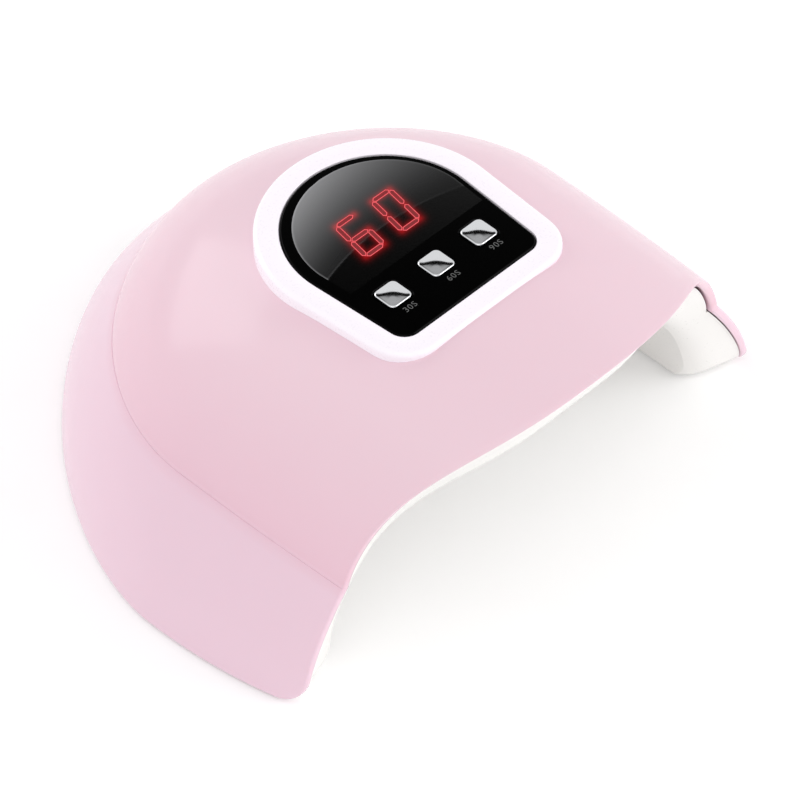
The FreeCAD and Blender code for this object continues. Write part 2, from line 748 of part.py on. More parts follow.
soften(lens, "Chamfer", "Sheet.lens_bevel", cell("console_top") - cell("lens_drop"), on_rim)
keep(lens, "display_lens")

tape = d_body("tape", "-0.1", f"{LENS_FOOT} - Sheet.tape_thick", "Sheet.tape_thick")
pocket(tape, d_sketch(tape, "tape_window", "-Sheet.seat_width", LENS_FOOT), "Sheet.tape_thick")
keep(tape, "lens_tape")

# ---------------------------------------------------------------- keys and their switches

SWITCH_TOP = "(Sheet.board_top + Sheet.switch_height)"
FLANGE_TOP = f"({LENS_FOOT} - Sheet.flange_gap)"
PLUNGER_TOP = f"({SWITCH_TOP} + Sheet.plunger_rise)"
BORE_DEPTH = "(Sheet.plunger_height - Sheet.plunger_rise + Sheet.key_travel + Sheet.plunger_reserve)"
switches = []
for index, name in enumerate(KEY_NAMES):
    x = f"{index - 1} * Sheet.key_pitch"
    y = "Sheet.foot_line + Sheet.key_line"
    key = doc.addObject("PartDesign::Body", f"key_{name}")
    flange = rounded_square(key, f"flange_{name}", "Sheet.key_flange", "Sheet.key_corner", x, "Sheet.key_line",
                            f"{FLANGE_TOP} - Sheet.key_flange_thick")
    pad(key, flange, "Sheet.key_flange_thick")
    cap = rounded_square(key, f"cap_{name}", "Sheet.key_side", "Sheet.key_corner", x, "Sheet.key_line",
                         f"{FLANGE_TOP} - Sheet.stem_sink")
    key_top = cell("console_top") - cell("lens_drop") + cell("key_rise")
    pad(key, cap, "Sheet.stem_sink + Sheet.flange_gap + Sheet.lens_thick + Sheet.key_rise")
    soften(key, "Fillet", "Sheet.key_top_round", key_top)
    stem = cylinder(f"stem_{name}", "Sheet.stem_radius", f"{FLANGE_TOP} - Sheet.stem_sink - {PLUNGER_TOP}", x, y,
                    PLUNGER_TOP)
    keep(fuse(f"key_fuse_{name}", [key, stem]), f"button_{name}")
    keep(cylinder(f"plunger_{name}", "Sheet.plunger_radius", "Sheet.plunger_height", x, y,
                  f"{PLUNGER_TOP} - Sheet.plunger_height"), f"switch_plunger_{name}")
    case = box(f"switch_case_{name}", "Sheet.switch_side", "Sheet.switch_side", "Sheet.switch_height", x, y,
               "Sheet.board_top")
    bore = cylinder(f"switch_bore_{name}", "Sheet.plunger_radius + Sheet.plunger_play", f"{BORE_DEPTH} + 1", x, y,
                    f"{SWITCH_TOP} - {BORE_DEPTH}")
    switches.append(cut(f"switch_{name}", case, bore))
keep(group("switches", switches), "switch_bodies")

# ---------------------------------------------------------------- control board and what stands on it

board = d_body("board", "Sheet.neck_rim + Sheet.board_play", "Sheet.board_top - Sheet.board_thick",
               "Sheet.board_thick")
keep(cut("board_cut", board, fuse("board_holes", board_bores)), "control_board")
keep(group("board_screw_group", board_screws), "board_screws")

digit_x, digit_y = "Sheet.digit_shift", "Sheet.foot_line + Sheet.digit_line"
keep(box("digits", "Sheet.digit_module_width", "Sheet.digit_module_depth", "Sheet.digit_module_height",
         digit_x, digit_y, "Sheet.board_top"), "digit_module")
keep(box("chip", "Sheet.chip_length", "Sheet.chip_width", "Sheet.chip_height", "0",
         "Sheet.foot_line + Sheet.chip_line", "Sheet.board_top"), "microcontroller")
keep(cylinder("capacitor", "Sheet.capacitor_radius", "Sheet.capacitor_height", "Sheet.capacitor_shift",
              "Sheet.foot_line + Sheet.capacitor_line", "Sheet.board_top"), "board_capacitor")
keep(box("inductor", "Sheet.inductor_side", "Sheet.inductor_side", "Sheet.inductor_height", "0",
         "Sheet.foot_line + Sheet.inductor_line", "Sheet.board_top"), "power_inductor")

DIGIT_HEIGHT = 14.2
DIGIT_WIDTH = 7.6
DIGIT_PITCH = 12.7
DIGIT_SLANT = math.tan(math.radians(9))
SEGMENT_WIDTH = 1.5
SEGMENT_GAP = 0.25
SEGMENT_THICK = 0.25


def segment(start, end):
    """One bar of a seven-segment digit, pointed at both ends, in the digit's upright frame."""
    along = (end - start).normalize()
    side = Vector(-along.y, along.x, 0) * (SEGMENT_WIDTH / 2)
    first, last = start + along * SEGMENT_GAP, end - along * SEGMENT_GAP
    near, far = first + along * (SEGMENT_WIDTH / 2), last - along * (SEGMENT_WIDTH / 2)
    return [first, near + side, far + side, last, far - side, near - side]


def digit_segments():
    """Both digits' segments, lying on the module's face."""
    wide = (DIGIT_WIDTH - SEGMENT_WIDTH) / 2
    tall = (DIGIT_HEIGHT - SEGMENT_WIDTH) / 2
    nodes = [Vector(x, y, 0) for y in (-tall, 0, tall) for x in (-wide, wide)]
    pairs = ((0, 1), (2, 3), (4, 5), (0, 2), (2, 4), (1, 3), (3, 5))
    face_z = cell("board_top") + cell("digit_module_height")
    solids = []
    for side in (-1, 1):
        centre = Vector(side * DIGIT_PITCH / 2, back(cell("digit_line")), face_z)
        for a, b in pairs:
            corners = [centre + Vector(p.x + DIGIT_SLANT * p.y, p.y, 0) for p in segment(nodes[a], nodes[b])]
            outline = Part.makePolygon(corners + corners[:1])
            solids.append(Part.Face(outline).extrude(Vector(0, 0, SEGMENT_THICK)))
    return Part.makeCompound(solids)


feature("digit_segments", digit_segments())

# ---------------------------------------------------------------- liner

LINER_WALL = cell("liner_wall")
STRIP_ANGLES = (20, 48, 76, 104, 132, 160)      # round the cavity's arch, in degrees
LIGHT_STEPS = (-1, 0, 1)
STAKE_SINK = 0.5                # how far a stake's pin runs into its shoulder


def strip_placement(degrees):
    """Frame of one light strip: z = 0 on its inner face, +Z away from the cavity."""
    angle = math.radians(degrees)
    half_width, height = cell("cavity_half_width"), cell("cavity_height")
    point = Vector(half_width * math.cos(angle), back(cell("strip_middle")), height * math.sin(angle))
    normal = Vector(math.cos(angle) / half_width, 0, math.sin(angle) / height).normalize()
    turn = math.degrees(math.atan2(normal.x, normal.z))
    return Placement(point + normal * cell("strip_stand"), Rotation(Vector(0, 1, 0), turn))


def placed(shape, placement):
    shape.Placement = placement.multiply(shape.Placement)
    return shape


def liner_shape():
    inset = WALL + cell("liner_gap")
    room = dome(inset, INNER_STEP + cell("liner_gap"))
    floor_plate = Part.makeBox(2 * FAR, 2 * FAR, LINER_WALL, Vector(-FAR, -FAR, FLOOR))
    walls = room.common(cavity(LINER_WALL).fuse([front_face_cutter(LINER_WALL), floor_plate]))
    for x, y in SCREW_PLACES:
        walls = walls.fuse(Part.makeCylinder(cell("cup_radius"), cell("cup_height"), Vector(x, back(y), FLOOR)))
    width, length = cell("jack_width"), cell("jack_length")
    jack_foot = cell("jack_axis") - cell("jack_height") / 2
    jack_front = back(cell("jack_face") - cell("jack_nose"))
    cheek = cell("jack_cheek")
    walls = walls.fuse(Part.makeBox(width + 2 * cheek, length - 1, cell("jack_axis") - FLOOR,
                                    Vector(-width / 2 - cheek, jack_front - length + 0.5, FLOOR)))
    liner = walls.cut(cavity(0)).cut(front_face_cutter(0))
    play = cell("neck_play")
    liner = liner.cut(Part.makeBox(width + 2 * play, length + 2, cell("jack_height"),
                                   Vector(-width / 2 - play, jack_front - length - 1, jack_foot)))
    tools = []
    for x, y in SCREW_PLACES:
        place = Vector(x, back(y), FLOOR)
        tools.append(Part.makeCylinder(cell("screw_head") + cell("screw_head_play"),
                                       cell("cup_height") - cell("cup_ceiling"), place))
        tools.append(Part.makeCylinder(cell("screw_radius") + cell("screw_play"), cell("cup_height") + 1, place))
    for x, y in PAD_PLACES:
        tools.append(Part.makeCylinder(cell("pad_radius") + cell("pad_play"), cell("pad_recess"),
                                       Vector(x, back(y), FLOOR)))
    stakes = []
    for degrees in STRIP_ANGLES:
        frame = strip_placement(degrees)
        for step in LIGHT_STEPS:
            y = step * cell("light_pitch")
            deep = cell("light_hole_depth")
            hole = Part.makeCone(cell("light_hole") + cell("light_flare"), cell("light_hole"), deep,
                                 Vector(0, y, -deep))
            tools.append(placed(hole, frame))
        for side in (-1, 1):
            y = side * cell("stake_spacing") / 2
            high = cell("stake_shoulder_height")
            shoulder = Part.makeCylinder(cell("stake_shoulder"), high, Vector(0, y, -high))
            pin = Part.makeCylinder(cell("stake_radius"), cell("stake_length"), Vector(0, y, -STAKE_SINK))
            head = Part.makeCylinder(cell("stake_head"), cell("stake_head_thick"), Vector(0, y, cell("strip_thick")))
            stakes.append(placed(shoulder.fuse([pin, head]), frame))
    return liner.fuse(stakes).cut(tools)


feature("inner_liner", liner_shape())

# ---------------------------------------------------------------- light strips

for number, degrees in enumerate(STRIP_ANGLES, start=1):
    frame = strip_placement(degrees)
    base = box(f"strip_base_{number}", "Sheet.strip_width", "Sheet.strip_length", "Sheet.strip_thick", "0", "0", "0")
    holes = [cylinder(f"strip_hole_{number}_{end}", "Sheet.stake_radius + Sheet.stake_play", "3 * Sheet.strip_thick",
                      "0", f"{side} * Sheet.stake_spacing / 2", "-Sheet.strip_thick")
             for end, side in enumerate((-1, 1))]
    strip = cut(f"strip_{number}", base, fuse(f"strip_holes_{number}", holes))
    strip.Placement = frame
    keep(strip, f"led_strip_{number}")
    beads = []
    for step in LIGHT_STEPS:
        y = f"{step} * Sheet.light_pitch"
        package = box(f"package_{number}_{step + 1}", "Sheet.light_side", "Sheet.light_side", "Sheet.light_thick",
                      "0", y, "-Sheet.light_thick")
        ball = doc.addObject("Part::Sphere", f"ball_{number}_{step + 1}")
        bind(ball, Radius="Sheet.light_dome", Placement__Base__y=y,
             Placement__Base__z="Sheet.light_sink - Sheet.light_thick")
        ball.Angle2 = 0
        beads.append(fuse(f"bead_{number}_{step + 1}", [package, ball]))
    lights = group(f"lights_{number}", beads)
    lights.Placement = frame
    keep(lights, f"led_lights_{number}")

# ---------------------------------------------------------------- fasteners, feet and power inlet

liner_screws = [screw(f"liner_screw_{number}", "screw", str(x), f"Sheet.foot_line + {y}",
                      "Sheet.pad_rise + Sheet.cup_height - Sheet.cup_ceiling")
                for number, (x, y) in enumerate(SCREW_PLACES, start=1)]
keep(group("liner_screw_group", liner_screws), "liner_screws")

pads = [cylinder(f"pad_{number}", "Sheet.pad_radius", "Sheet.pad_rise + Sheet.pad_recess", str(x),
                 f"Sheet.foot_line + {y}", "0") for number, (x, y) in enumerate(PAD_PLACES, start=1)]
keep(group("pads", pads), "foot_pads")

JACK_BACK = "Sheet.foot_line + Sheet.jack_face - Sheet.jack_nose"
jack_case = box("jack_case", "Sheet.jack_width", "Sheet.jack_length", "Sheet.jack_height", "0",
                f"{JACK_BACK} - Sheet.jack_length / 2", "Sheet.jack_axis - Sheet.jack_height / 2")
nose = along_y("nose", "Sheet.jack_nose", "Sheet.jack_nose + 1", f"{JACK_BACK} - 1")
JACK_BOTTOM = f"{JACK_BACK} + Sheet.jack_nose - Sheet.jack_bore_depth"
bore = along_y("jack_bore_tool", "Sheet.jack_bore", "Sheet.jack_bore_depth + 1", JACK_BOTTOM)
keep(cut("jack_cut", fuse("jack_whole", [jack_case, nose]), bore), "dc_jack")
keep(along_y("pin", "Sheet.jack_pin", "Sheet.jack_pin_length", JACK_BOTTOM), "jack_pin")

# ---------------------------------------------------------------- check and write

doc.recompute()
for obj in doc.Objects:
    if "Invalid" in obj.State or "Error" in obj.State:
        raise RuntimeError(f"{obj.Label}: {obj.State}")
for obj in PARTS:
    if obj.Shape.isNull() or not obj.Shape.isValid():
        raise RuntimeError(f"{obj.Label}: bad shape")
os.makedirs("parts", exist_ok=True)
for obj in PARTS:
    obj.Shape.exportStep(f"parts/{obj.Label}.step")
    size = obj.Shape.BoundBox
    print(f"{obj.Label}: {len(obj.Shape.Solids)} solids, {obj.Shape.Volume:.0f} mm3,",
          f"x {size.XMin:.2f} {size.XMax:.2f}, y {size.YMin:.2f} {size.YMax:.2f}, z {size.ZMin:.2f} {size.ZMax:.2f}")
print(f"{len(PARTS)} parts written")
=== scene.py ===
import json
import math

import bmesh
import bpy
import mathutils
from mathutils import Matrix, Vector


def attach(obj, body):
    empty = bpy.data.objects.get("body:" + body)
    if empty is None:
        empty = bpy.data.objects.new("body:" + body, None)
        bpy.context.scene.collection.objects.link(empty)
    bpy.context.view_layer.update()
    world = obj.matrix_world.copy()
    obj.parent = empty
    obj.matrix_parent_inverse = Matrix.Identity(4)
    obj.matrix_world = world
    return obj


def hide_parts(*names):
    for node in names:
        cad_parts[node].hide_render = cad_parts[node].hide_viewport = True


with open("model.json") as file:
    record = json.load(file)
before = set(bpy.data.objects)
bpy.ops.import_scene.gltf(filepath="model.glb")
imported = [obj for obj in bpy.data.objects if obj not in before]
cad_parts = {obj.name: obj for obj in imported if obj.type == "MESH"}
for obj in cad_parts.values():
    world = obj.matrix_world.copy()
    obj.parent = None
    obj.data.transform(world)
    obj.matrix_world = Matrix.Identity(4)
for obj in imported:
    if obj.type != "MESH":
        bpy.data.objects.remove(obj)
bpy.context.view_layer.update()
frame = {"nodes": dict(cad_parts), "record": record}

# The lamp's dimensions in millimetres, as the CAD part has them. Y counts from the foot line.
MM = 0.001
FOOT_LINE = -61.22
FLOOR = 1.0
TOP = 72.7
CREASE = 33.7
LEDGE = 0.12                             # the hood's setback from the wings, finer than in the CAD
WALL = 2.2
WING_BULGE = 3.2
SUMMIT = 26.2
CREASE_SHADE_TOP = 66.0                        # height at which the painted shade above the crease has faded into the hood's own pink
WING = {"half_width": 90.0, "centre": 47.8, "rear": 97.0, "front": 121.9, "power": 1.65}
EDGE = {"half_width": 69.4, "centre": 56.1, "rear": 68.2, "front": 281.5, "power": 1.86}
BLUNTNESS = 0.25
HOOD_REACH, HOOD_RISE = 0.61, 1.51      # powers of cosine and sine that give the hood's section
FOOT_RADIUS = 7.0
CONSOLE_TOP = 73.6
LENS_TOP = 73.4


def at(x, y, z):
    """A point given in millimetres, with y behind the foot line, as Blender's metres."""
    return Vector((x, y + FOOT_LINE, z)) * MM


# ---------------------------------------------------------------- materials


def new_material(name, colour, roughness, metallic=0.0, coat=0.0):
    """A principled material with its node tree, shader and object coordinates."""
    material = bpy.data.materials.new(name)
    material.use_nodes = True
    nodes = material.node_tree.nodes
    shader = nodes["Principled BSDF"]
    shader.inputs["Base Color"].default_value = (*colour, 1)
    shader.inputs["Roughness"].default_value = roughness
    shader.inputs["Metallic"].default_value = metallic
    shader.inputs["Coat Weight"].default_value = coat
    shader.inputs["Coat Roughness"].default_value = 0.06
    coordinates = nodes.new("ShaderNodeTexCoord")
    return material, shader, coordinates.outputs["Object"]


def noise(material, vector, scale, detail=3.0):
    """A noise value that varies with the given coordinates."""
    node = material.node_tree.nodes.new("ShaderNodeTexNoise")
    node.inputs["Scale"].default_value = scale
    node.inputs["Detail"].default_value = detail
    material.node_tree.links.new(vector, node.inputs["Vector"])
    return node.outputs["Fac"]


def ramp(material, factor, low, high, start=0.3, end=0.7):
    """Colours from low to high as the factor goes from start to end."""
    node = material.node_tree.nodes.new("ShaderNodeValToRGB")
    first, last = node.color_ramp.elements
    first.position, last.position = start, end
    first.color, last.color = (*low, 1), (*high, 1)
    material.node_tree.links.new(factor, node.inputs["Fac"])
    return node.outputs["Color"]


def bump(material, shader, height, strength, distance):
    """Relief on the shader's normals from a height value."""
    node = material.node_tree.nodes.new("ShaderNodeBump")
    node.inputs["Strength"].default_value = strength
    node.inputs["Distance"].default_value = distance
    material.node_tree.links.new(height, node.inputs["Height"])
    material.node_tree.links.new(node.outputs["Normal"], shader.inputs["Normal"])


def surface(name, colour, roughness, metallic=0.0, coat=0.0, vary=0.04, grain=900, depth=0.00002,
            strength=0.15, gloss=0.5):
    """A moulded or machined surface: soft colour changes, uneven gloss and fine grain."""
    material, shader, vector = new_material(name, colour, roughness, metallic, coat)
    links = material.node_tree.links
    broad = noise(material, vector, 14)
    low = tuple(c * (1 - vary) for c in colour)
    high = tuple(min(c * (1 + vary), 1) for c in colour)
    links.new(ramp(material, broad, low, high), shader.inputs["Base Color"])
    shader.inputs["Specular IOR Level"].default_value = gloss
    fine = noise(material, vector, grain)
    smooth, rough = (roughness * 0.8,) * 3, (min(roughness * 1.25, 1),) * 3
    links.new(ramp(material, fine, smooth, rough), shader.inputs["Roughness"])
    bump(material, shader, fine, strength, depth)
    return material


def pink_plastic():
    """Glossy pearly pink: bluer on the wings than on the hood, with painted shade darkest just above the
    crease that fades up the hood.
    """
    hood, crease_shade, wing = (0.85, 0.625, 0.7), (0.8, 0.53, 0.62), (0.825, 0.6, 0.695)
    material, shader, vector = new_material("pink_plastic", hood, 0.24, coat=0.12)
    nodes, links = material.node_tree.nodes, material.node_tree.links
    split = nodes.new("ShaderNodeSeparateXYZ")
    links.new(vector, split.inputs[0])
    # the wings' and hood's own colours by height, with a painted shade band darkest just above the crease
    colour_and_shade_by_height = ramp(material, split.outputs["Z"], wing, hood, (CREASE - 0.25) * MM, CREASE_SHADE_TOP * MM)
    nodes[-1].color_ramp.elements.new((CREASE + 0.25) * MM).color = (*crease_shade, 1)
    mix = nodes.new("ShaderNodeMix")
    mix.data_type = "RGBA"
    mix.blend_type = "MULTIPLY"
    mix.inputs[0].default_value = 1.0
    links.new(colour_and_shade_by_height, mix.inputs[6])
    links.new(ramp(material, noise(material, vector, 9), (0.975, 0.97, 0.972), (1, 1, 1)), mix.inputs[7])
    links.new(mix.outputs[2], shader.inputs["Base Color"])
    fine = noise(material, vector, 1500)
    links.new(ramp(material, fine, (0.2,) * 3, (0.27,) * 3), shader.inputs["Roughness"])
    bump(material, shader, fine, 0.04, 0.000002)
    shader.inputs["Specular IOR Level"].default_value = 0.2
    shader.inputs["Subsurface Weight"].default_value = 0.08
    shader.inputs["Subsurface Radius"].default_value = (0.003, 0.0015, 0.0015)
    shader.inputs["Subsurface Scale"].default_value = 1.0
    return material


def white_with_painted_glow():
    """The bezel's near-white plastic, with a faint painted glow."""
    material = surface("bezel_white", (0.92, 0.87, 0.93), 0.3, coat=0.3, vary=0.01, grain=1800,
                       depth=0.00001)
    shader = material.node_tree.nodes["Principled BSDF"]
    # a faint painted glow that brightens the white plastic
    shader.inputs["Emission Color"].default_value = (1.0, 0.93, 1.0, 1)
    shader.inputs["Emission Strength"].default_value = 0.08
    return material


def lens_film():
    """The lens over the digits: black gloss with a painted grey reflection and a painted red glow round the
    digits.
    """
    material, shader, vector = new_material("lens_film", (0.001, 0.001, 0.001), 0.08, coat=0.1)
    nodes, links = material.node_tree.nodes, material.node_tree.links
    painted_reflection, glow = nodes.new("ShaderNodeAttribute"), nodes.new("ShaderNodeAttribute")
    painted_reflection.attribute_name, glow.attribute_name = "painted_reflection", "glow"
    # painted reflection: black where the attribute is nought, grey where it is one
    reflection_colour = nodes.new("ShaderNodeMix")
    reflection_colour.data_type = "RGBA"
    reflection_colour.inputs[6].default_value = (0.001, 0.001, 0.001, 1)
    reflection_colour.inputs[7].default_value = (0.4, 0.4, 0.41, 1)
    links.new(painted_reflection.outputs["Fac"], reflection_colour.inputs[0])
    links.new(reflection_colour.outputs[2], shader.inputs["Base Color"])
    fine = noise(material, vector, 2600)
    links.new(ramp(material, fine, (0.06,) * 3, (0.1,) * 3), shader.inputs["Roughness"])
    light = nodes.new("ShaderNodeMix")
    light.data_type = "RGBA"
    light.inputs[6].default_value = (0, 0, 0, 1)
    light.inputs[7].default_value = (0.75, 0.01, 0.015, 1)
    links.new(glow.outputs["Fac"], light.inputs[0])
    links.new(light.outputs[2], shader.inputs["Emission Color"])
    shader.inputs["Emission Strength"].default_value = 1.0
    return material


def light_bar(name, colour, strength):
    """A lit bar of a digit, uneven along its length as moulded light guides are."""
    material, shader, vector = new_material(name, (0.12, 0.005, 0.008), 0.4)
    links = material.node_tree.links
    dim = tuple(c * 0.8 for c in colour)
    links.new(ramp(material, noise(material, vector, 1200), dim, colour), shader.inputs["Emission Color"])
    shader.inputs["Emission Strength"].default_value = strength
    return material


# ---------------------------------------------------------------- mesh helpers


def piece(name, mesh, body, material, replaced=(), angle=40):
    """An object from a bmesh, smooth shaded except at sharp edges, riding on a body."""
    bmesh.ops.remove_doubles(mesh, verts=mesh.verts, dist=1e-7)
    bmesh.ops.recalc_face_normals(mesh, faces=mesh.faces)
    data = bpy.data.meshes.new(name)
    mesh.to_mesh(data)
    mesh.free()
    data.shade_smooth()
    data.set_sharp_from_angle(angle=math.radians(angle))
    data.materials.append(material)
    obj = bpy.data.objects.new(name, data)
    bpy.context.scene.collection.objects.link(obj)
    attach(obj, body)
    if replaced:
        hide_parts(*replaced)
    return obj


def add_rows(mesh, rows, closed):
    """Quads between successive rows of points; closed joins each row's ends."""
    made = [[mesh.verts.new(p) for p in row] for row in rows]
    count = len(made[0])
    for low, high in zip(made, made[1:]):
        for i in range(count if closed else count - 1):
            j = (i + 1) % count
            corners = [low[i], low[j], high[j], high[i]]
            if all((a.co - b.co).length > 1e-7 for a, b in zip(corners, corners[1:] + corners[:1])):
                mesh.faces.new(corners)
            else:
                kept = []
                for vert in corners:
                    if all((vert.co - other.co).length > 1e-7 for other in kept):
                        kept.append(vert)
                if len(kept) == 3:
                    mesh.faces.new(kept)
    return made


def prism(low, high):
    """A closed bmesh between two loops of points."""
    mesh = bmesh.new()
    ends = add_rows(mesh, [low, high], True)
    mesh.faces.new(ends[0])
    mesh.faces.new(ends[-1])
    bmesh.ops.recalc_face_normals(mesh, faces=mesh.faces)
    return mesh


def carve(obj, tool_mesh, angle=50):
    """Takes a closed tool away from an object's mesh."""
    tool_data = bpy.data.meshes.new("carving_tool")
    tool_mesh.to_mesh(tool_data)
    tool_mesh.free()
    tool = bpy.data.objects.new("carving_tool", tool_data)
    bpy.context.scene.collection.objects.link(tool)
    tool.matrix_world = obj.matrix_world
    modifier = obj.modifiers.new("carve", "BOOLEAN")
    modifier.operation = "DIFFERENCE"
    modifier.solver = "EXACT"
    modifier.object = tool
    graph = bpy.context.evaluated_depsgraph_get()
    carved = bpy.data.meshes.new_from_object(obj.evaluated_get(graph))
    obj.modifiers.clear()
    obj.data = carved
    carved.set_sharp_from_angle(angle=math.radians(angle))
    bpy.data.objects.remove(tool)


# ---------------------------------------------------------------- shell


def rear_reach(u, power):
    """How far back an outline reaches at a share u of its half width, with its tip rounded."""
    low, high = BLUNTNESS ** power, (1 + BLUNTNESS ** 2) ** (power / 2)
    rise = ((u * u + BLUNTNESS ** 2) ** (power / 2) - low) / (high - low)
    return max(1 - rise, 0) ** (1 / power)


def front_x(outline, inset, depth):
    """Half width of an outline at a depth before its widest line."""
    return (outline["half_width"] - inset) * math.sqrt(max(1 - (depth / outline["front"]) ** 2, 0))


def rear_point(outline, inset, turn):
    """Plan point of an outline's rear stretch: turn goes from 0 at the side to 1 at the rear tip."""
    u = math.cos(turn * math.pi / 2) ** (2 / outline["power"])
    y = outline["centre"] + (outline["rear"] - inset) * rear_reach(u, outline["power"])
    return (outline["half_width"] - inset) * u, y


def visor(z):
    """Where the shell's front edge lies at height z."""
    lean = -0.9 - 25.1 * (max(z, 0) / 74.9) ** 5
    below = min(max(FLOOR + FOOT_RADIUS - z, 0), FOOT_RADIUS)
    return lean + FOOT_RADIUS - math.sqrt(FOOT_RADIUS ** 2 - below ** 2)


FRONT_STATIONS = 36
REAR_STATIONS = 64


def whole_ring(right):
    """A ring from its right end round the rear to its left end, from its right half."""
    return right + [(-x, y, z) for x, y, z in reversed(right[:-1])]


def skirt_ring(t, inset, setback):
    """The wings' section at a share t of the way from the bottom up to the crease."""
    crease = CREASE - inset / WALL
    z = FLOOR + (crease - FLOOR) * t
    middle = WING["centre"]
    swell = 1 + 4 * t * (1 - t) * WING_BULGE / WING["half_width"]
    centre = middle + (EDGE["centre"] - middle) * t
    depth = centre - middle - (visor(z) + setback - middle) / swell
    right = []
    for i in range(FRONT_STATIONS):
        d = depth * (1 - i / FRONT_STATIONS)
        x = front_x(WING, inset, d) * (1 - t) + front_x(EDGE, inset, d) * t
        right.append((x, centre - d, z))
    for i in range(REAR_STATIONS + 1):
        low, high = rear_point(WING, inset, i / REAR_STATIONS), rear_point(EDGE, inset, i / REAR_STATIONS)
        right.append((low[0] * (1 - t) + high[0] * t, low[1] * (1 - t) + high[1] * t, z))
    return whole_ring([(x * swell, middle + (y - middle) * swell, z) for x, y, z in right])


def hood_level(turn, inset):
    """The hood's share of the crease outline and its height; turn is 0 at the crease, pi / 2 on top."""
    crease = CREASE - inset / WALL
    share = max(math.cos(turn), 0) ** HOOD_REACH
    return share, crease + (TOP - inset - crease) * math.sin(turn) ** HOOD_RISE


def hood_cut(turn, inset, setback):
    """Sine of the outline's angle where the front edge cuts the hood's ring; 1 or more where it misses."""
    share, z = hood_level(turn, inset)
    y = SUMMIT + (visor(z) + setback - SUMMIT) / max(share, 1e-9)
    return (EDGE["centre"] - y) / EDGE["front"]


def crown_turn(inset, setback):
    """The turn at which the hood's ring just touches the front edge."""
    low, high = 1.0, math.pi / 2
    for _ in range(50):
        middle = (low + high) / 2
        low, high = (middle, high) if hood_cut(middle, inset, setback) < 1 else (low, middle)
    return low


def hood_ring(turn, inset, setback):
    """The hood's section at one turn, as an open ring that ends at the front edge."""
    share, z = hood_level(turn, inset)
    bend = math.asin(min(hood_cut(turn, inset, setback), 1))
    right = []
    for i in range(FRONT_STATIONS):
        angle = bend * (1 - i / FRONT_STATIONS)
        right.append(((EDGE["half_width"] - inset - LEDGE) * math.cos(angle),
                      EDGE["centre"] - EDGE["front"] * math.sin(angle)))
    for i in range(REAR_STATIONS + 1):
        right.append(rear_point(EDGE, inset + LEDGE, i / REAR_STATIONS))
    return whole_ring([(x * share, SUMMIT + share * (y - SUMMIT), z) for x, y in right])


FOOT_LEVELS = 8
SKIRT_LEVELS = 20
HOOD_LEVELS = 64
CAP_LEVELS = 8


def skin_rings(inset, setback):
    """All open rings of one skin, from the floor to the crown."""
    span = CREASE - FLOOR
    foot_turns = [math.pi / 2 * i / FOOT_LEVELS for i in range(FOOT_LEVELS)]
    levels = [FOOT_RADIUS * (1 - math.cos(turn)) / span for turn in foot_turns]
    first = FOOT_RADIUS / span
    levels += [first + (1 - first) * i / SKIRT_LEVELS for i in range(SKIRT_LEVELS)] + [0.992, 1.0]
    rings = [skirt_ring(t, inset, setback) for t in levels]
    crown = crown_turn(inset, setback)
    for i in range(HOOD_LEVELS + 1):
        rings.append(hood_ring(crown * (1 - (1 - i / HOOD_LEVELS) ** 1.25), inset, setback))
    return rings


def to_blender(ring):
    """A ring given in millimetres, as Blender's points."""
    return [at(*p) for p in ring]


# The rounded front edge, as inset from the outer skin and setback from the frontmost line.
EDGE_SECTION = ((0.0, 0.5), (0.15, 0.14), (0.5, 0.0), (1.7, 0.0), (2.05, 0.14), (2.2, 0.5))


def shell_mesh():
    """Both skins of the shell, with caps on the crown, a rounded front edge and a flat bottom rim."""
    mesh = bmesh.new()
    skins = [skin_rings(inset, setback) for inset, setback in EDGE_SECTION]
    for rings, (inset, setback) in ((skins[0], EDGE_SECTION[0]), (skins[-1], EDGE_SECTION[-1])):
        add_rows(mesh, [to_blender(r) for r in rings], False)
        crown = crown_turn(inset, setback)
        turns = [crown + (math.pi / 2 - crown) * (i / CAP_LEVELS) ** 0.8 for i in range(CAP_LEVELS + 1)]
        add_rows(mesh, [to_blender(hood_ring(turn, inset, setback)) for turn in turns], False)
    rows = []
    for rings in skins:
        rows.append([at(*r[0]) for r in rings] + [at(*r[-1]) for r in reversed(rings)])
    add_rows(mesh, rows, False)
    add_rows(mesh, [to_blender(rings[0]) for rings in skins], False)
    return mesh


def hood_height(x, y):
    """Height of the hood's outer skin above a plan point inside the crease."""
    low, high = 0.0, math.pi / 2
    for _ in range(40):
        turn = (low + high) / 2
        share, z = hood_level(turn, 0)
        u, v = abs(x) / share, SUMMIT + (y - SUMMIT) / share
        half = EDGE["half_width"] - LEDGE
        if v < EDGE["centre"]:
            inside = u < half * math.sqrt(max(1 - ((EDGE["centre"] - v) / EDGE["front"]) ** 2, 0))
        else:
            reach = rear_reach(min(u / half, 1), EDGE["power"])
            inside = u < half and v < EDGE["centre"] + (EDGE["rear"] - LEDGE) * reach
        low, high = (turn, high) if inside else (low, turn)
    return hood_level(low, 0)[1]


# ---------------------------------------------------------------- console

# The D outline: an arc behind, two sides that close in towards the front, and round front corners.
LENS_RADIUS, LENS_CENTRE, LENS_FRONT = 26.5, 51.5, 20.0
LENS_CORNER, LENS_TAPER = 4.6, math.radians(4)


